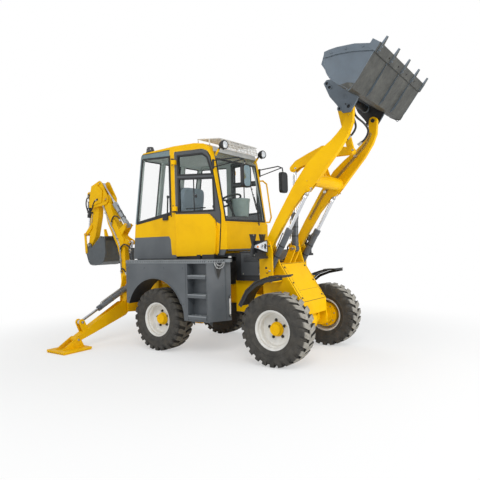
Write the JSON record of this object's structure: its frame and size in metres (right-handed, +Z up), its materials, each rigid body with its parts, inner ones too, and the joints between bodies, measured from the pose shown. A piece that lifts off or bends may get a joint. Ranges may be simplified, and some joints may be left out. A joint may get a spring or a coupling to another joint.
{
  "type": "backhoe loader",
  "caption": "Articulated backhoe loader: cab, raised loader bucket on bent arms, folded rear hoe, lowered stabiliser legs, lugged tyres and two doors.",
  "frame": {"origin": "on the ground, under the middle of the whole machine as parked", "axes": "+X towards the loader bucket, +Y to the machine's left, +Z up"},
  "size_m": [5.738, 3.256, 3.394],
  "materials": {
    "yellow": "semi-gloss",
    "slate": "satin",
    "black": "matt",
    "white": "satin",
    "chrome": "polished",
    "steel": "rough",
    "glass": "clear",
    "tyre": "matt",
    "bucket": "satin",
    "fabric": "woven"
  },
  "bodies": {
    "rear_frame": {"rear_chassis": "yellow", "engine": "steel", "rear_axle": "yellow", "deck_right": "slate", "deck_left": "slate", "cab_shell": "yellow", "cab_base": "slate", "cab_glass": "glass", "roof_guard": "white", "cab_fittings": "black", "seat": "fabric", "controls": "black", "hoe_frame": "yellow"},
    "front_frame": {"front_chassis": "yellow", "hood": "slate", "front_axle": "yellow", "mudguards": "black", "headlamps": "black"},
    "loader": {"loader_arms": "yellow"},
    "rocker": {"rocker": "yellow"},
    "tilt_link": {"tilt_link": "yellow"},
    "bucket": {"coupler": "bucket", "loader_bucket": "bucket"},
    "lift_barrels": {"lift_barrels": "bucket"},
    "lift_rods": {"lift_rods": "chrome"},
    "tilt_barrel": {"tilt_barrel": "bucket"},
    "tilt_rod": {"tilt_rod": "chrome"},
    "swing_post": {"swing_post": "yellow"},
    "hoe_boom": {"hoe_boom": "yellow"},
    "hoe_dipper": {"hoe_dipper": "yellow"},
    "hoe_bucket": {"hoe_bucket": "bucket"},
    "hoe_idler": {"hoe_idler": "yellow"},
    "hoe_link": {"hoe_link": "yellow"},
    "boom_barrel": {"boom_barrel": "bucket"},
    "boom_rod": {"boom_rod": "chrome"},
    "dipper_barrel": {"dipper_barrel": "bucket"},
    "dipper_rod": {"dipper_rod": "chrome"},
    "bucket_barrel": {"bucket_barrel": "black"},
    "bucket_rod": {"bucket_rod": "chrome"},
    "leg_right": {"leg_right": "yellow"},
    "pad_right": {"pad_right": "yellow"},
    "leg_barrel_right": {"leg_barrel_right": "bucket"},
    "leg_rod_right": {"leg_rod_right": "chrome"},
    "leg_left": {"leg_left": "yellow"},
    "pad_left": {"pad_left": "yellow"},
    "leg_barrel_left": {"leg_barrel_left": "bucket"},
    "leg_rod_left": {"leg_rod_left": "chrome"},
    "door_right": {"door_right": "yellow", "door_glass_right": "glass"},
    "door_left": {"door_left": "yellow", "door_glass_left": "glass"},
    "wheel_front_right": {"tyre_front_right": "tyre", "rim_front_right": "white"},
    "wheel_front_left": {"tyre_front_left": "tyre", "rim_front_left": "white"},
    "wheel_rear_right": {"tyre_rear_right": "tyre", "rim_rear_right": "white"},
    "wheel_rear_left": {"tyre_rear_left": "tyre", "rim_rear_left": "white"}
  },
  "joints": [
    {"name": "steering", "type": "hinge", "parent": "rear_frame", "child": "front_frame", "pos_m": [0.578, 0, 0.735], "axis": [0, 0, 1], "range_deg": [-30, 30]},
    {"name": "front_right_spin", "type": "hinge", "parent": "front_frame", "child": "wheel_front_right", "pos_m": [1.488, -0.68, 0.42], "axis": [0, 1, 0], "continuous": true},
    {"name": "front_left_spin", "type": "hinge", "parent": "front_frame", "child": "wheel_front_left", "pos_m": [1.488, 0.68, 0.42], "axis": [0, 1, 0], "continuous": true},
    {"name": "rear_right_spin", "type": "hinge", "parent": "rear_frame", "child": "wheel_rear_right", "pos_m": [-0.332, -0.68, 0.42], "axis": [0, 1, 0], "continuous": true},
    {"name": "rear_left_spin", "type": "hinge", "parent": "rear_frame", "child": "wheel_rear_left", "pos_m": [-0.332, 0.68, 0.42], "axis": [0, 1, 0], "continuous": true},
    {"name": "door_right_swing", "type": "hinge", "parent": "rear_frame", "child": "door_right", "pos_m": [-0.0775, -0.70505, 1.9], "axis": [0, 0, -1], "range_deg": [0, 85]},
    {"name": "door_left_swing", "type": "hinge", "parent": "rear_frame", "child": "door_left", "pos_m": [-0.0775, 0.70505, 1.9], "axis": [0, 0, 1], "range_deg": [0, 85]},
    {"name": "boom_lift", "type": "hinge", "parent": "front_frame", "child": "loader", "pos_m": [1.213, 0, 1.375], "axis": [0, 1, 0], "range_deg": [0, 88]},
    {"name": "lift_barrel_swing", "type": "hinge", "parent": "front_frame", "child": "lift_barrels", "pos_m": [1.218, 0, 1.07], "axis": [0, 1, 0], "range_deg": [-1, 80.39]},
    {"name": "lift_rod_slide", "type": "slide", "parent": "lift_barrels", "child": "lift_rods", "axis": [0.5084, 0, 0.8611], "range_m": [-0.4073, 0.005]},
    {"name": "tilt_barrel_swing", "type": "hinge", "parent": "front_frame", "child": "tilt_barrel", "pos_m": [1.368, 0, 1.33], "axis": [0, 1, 0], "range_deg": [-1, 96.58]},
    {"name": "tilt_rod_slide", "type": "slide", "parent": "tilt_barrel", "child": "tilt_rod", "axis": [0.0255, 0, 0.9997], "range_m": [-0.1933, 0.005]},
    {"name": "bucket_tilt", "type": "hinge", "parent": "loader", "child": "bucket", "pos_m": [2.313, 0, 2.875], "axis": [0, -1, 0], "range_deg": [-85, 20]},
    {"name": "rocker_swing", "type": "hinge", "parent": "loader", "child": "rocker", "pos_m": [1.818, 0, 2.51], "axis": [0, -1, 0], "range_deg": [-10.82, 42.76]},
    {"name": "tilt_link_swing", "type": "hinge", "parent": "rocker", "child": "tilt_link", "pos_m": [2.164, 0, 2.473], "axis": [0, -1, 0], "range_deg": [-90.54, 22.07]},
    {"name": "hoe_swing", "type": "hinge", "parent": "rear_frame", "child": "swing_post", "pos_m": [-1.652, 0, 0.665], "axis": [0, 0, 1], "range_deg": [-80, 80]},
    {"name": "hoe_boom_lower", "type": "hinge", "parent": "swing_post", "child": "hoe_boom", "pos_m": [-1.84, 0, 0.7], "axis": [0, -1, 0], "range_deg": [0, 85]},
    {"name": "boom_barrel_swing", "type": "hinge", "parent": "swing_post", "child": "boom_barrel", "pos_m": [-1.704, 0, 0.92], "axis": [0, 1, 0], "range_deg": [-91.49, 1]},
    {"name": "boom_rod_slide", "type": "slide", "parent": "boom_barrel", "child": "boom_rod", "axis": [-0.0228, 0, 0.9997], "range_m": [-0.005, 0.3476]},
    {"name": "dipper_reach", "type": "hinge", "parent": "hoe_boom", "child": "hoe_dipper", "pos_m": [-2.247, 0, 2.241], "axis": [0, 1, 0], "range_deg": [0, 95]},
    {"name": "dipper_barrel_swing", "type": "hinge", "parent": "hoe_boom", "child": "dipper_barrel", "pos_m": [-1.787, 0, 1.775], "axis": [0, 1, 0], "range_deg": [-1, 24.71]},
    {"name": "dipper_rod_slide", "type": "slide", "parent": "dipper_barrel", "child": "dipper_rod", "axis": [-0.6327, 0, 0.7744], "range_m": [-0.357, 0.005]},
    {"name": "hoe_bucket_open", "type": "hinge", "parent": "hoe_dipper", "child": "hoe_bucket", "pos_m": [-2.734, 0, 1.47], "axis": [0, 1, 0], "range_deg": [0, 140]},
    {"name": "idler_swing", "type": "hinge", "parent": "hoe_dipper", "child": "hoe_idler", "pos_m": [-2.688, 0, 1.787], "axis": [0, 1, 0], "range_deg": [-1, 85.34]},
    {"name": "hoe_link_swing", "type": "hinge", "parent": "hoe_idler", "child": "hoe_link", "pos_m": [-2.822, 0, 1.66], "axis": [0, 1, 0], "range_deg": [-93.73, 1]},
    {"name": "bucket_barrel_swing", "type": "hinge", "parent": "hoe_dipper", "child": "bucket_barrel", "pos_m": [-2.741, 0, 2.381], "axis": [0, 1, 0], "range_deg": [-1, 4.96]},
    {"name": "bucket_rod_slide", "type": "slide", "parent": "bucket_barrel", "child": "bucket_rod", "axis": [-0.1116, 0, -0.9937], "range_m": [-0.2495, 0.005]},
    {"name": "leg_right_raise", "type": "hinge", "parent": "rear_frame", "child": "leg_right", "pos_m": [-1.432, -0.262, 0.59], "axis": [-1, 0, 0], "range_deg": [-6, 70]},
    {"name": "pad_right_tilt", "type": "hinge", "parent": "leg_right", "child": "pad_right", "pos_m": [-1.432, -1.318, 0.143], "axis": [-1, 0, 0], "range_deg": [-25, 25]},
    {"name": "leg_barrel_right_swing", "type": "hinge", "parent": "rear_frame", "child": "leg_barrel_right", "pos_m": [-1.432, -0.321, 0.801], "axis": [-1, 0, 0], "range_deg": [-7.67, 78.86]},
    {"name": "leg_rod_right_slide", "type": "slide", "parent": "leg_barrel_right", "child": "leg_rod_right", "axis": [0, -0.9041, -0.4272], "range_m": [-0.2248, 0.0238]},
    {"name": "leg_left_raise", "type": "hinge", "parent": "rear_frame", "child": "leg_left", "pos_m": [-1.432, 0.262, 0.59], "axis": [1, 0, 0], "range_deg": [-6, 70]},
    {"name": "pad_left_tilt", "type": "hinge", "parent": "leg_left", "child": "pad_left", "pos_m": [-1.432, 1.318, 0.143], "axis": [1, 0, 0], "range_deg": [-25, 25]},
    {"name": "leg_barrel_left_swing", "type": "hinge", "parent": "rear_frame", "child": "leg_barrel_left", "pos_m": [-1.432, 0.321, 0.801], "axis": [1, 0, 0], "range_deg": [-7.67, 78.86]},
    {"name": "leg_rod_left_slide", "type": "slide", "parent": "leg_barrel_left", "child": "leg_rod_left", "axis": [0, 0.9041, -0.4272], "range_m": [-0.2248, 0.0238]}
  ],
  "couplings": [
    {"joint": "lift_barrel_swing", "follows": "boom_lift", "ratio": 0.90217},
    {"joint": "lift_rod_slide", "follows": "boom_lift", "m_per_rad": -0.26194},
    {"joint": "tilt_barrel_swing", "follows": "boom_lift", "ratio": 1.0862},
    {"joint": "tilt_rod_slide", "follows": "boom_lift", "m_per_rad": -0.12262},
    {"joint": "rocker_swing", "follows": "bucket_tilt", "ratio": -0.49124},
    {"joint": "tilt_link_swing", "follows": "bucket_tilt", "ratio": 1.0534},
    {"joint": "boom_barrel_swing", "follows": "hoe_boom_lower", "ratio": -1.0646},
    {"joint": "boom_rod_slide", "follows": "hoe_boom_lower", "m_per_rad": 0.23092},
    {"joint": "dipper_barrel_swing", "follows": "dipper_reach", "ratio": 0.2496},
    {"joint": "dipper_rod_slide", "follows": "dipper_reach", "m_per_rad": -0.21229},
    {"joint": "idler_swing", "follows": "hoe_bucket_open", "ratio": 0.60241},
    {"joint": "hoe_link_swing", "follows": "hoe_bucket_open", "ratio": -0.66238},
    {"joint": "bucket_barrel_swing", "follows": "hoe_bucket_open", "ratio": 0.0283},
    {"joint": "bucket_rod_slide", "follows": "hoe_bucket_open", "m_per_rad": -0.10006},
    {"joint": "leg_barrel_right_swing", "follows": "leg_right_raise", "ratio": 1.1122},
    {"joint": "leg_rod_right_slide", "follows": "leg_right_raise", "m_per_rad": -0.1799},
    {"joint": "leg_barrel_left_swing", "follows": "leg_left_raise", "ratio": 1.1122},
    {"joint": "leg_rod_left_slide", "follows": "leg_left_raise", "m_per_rad": -0.1799}
  ]
}
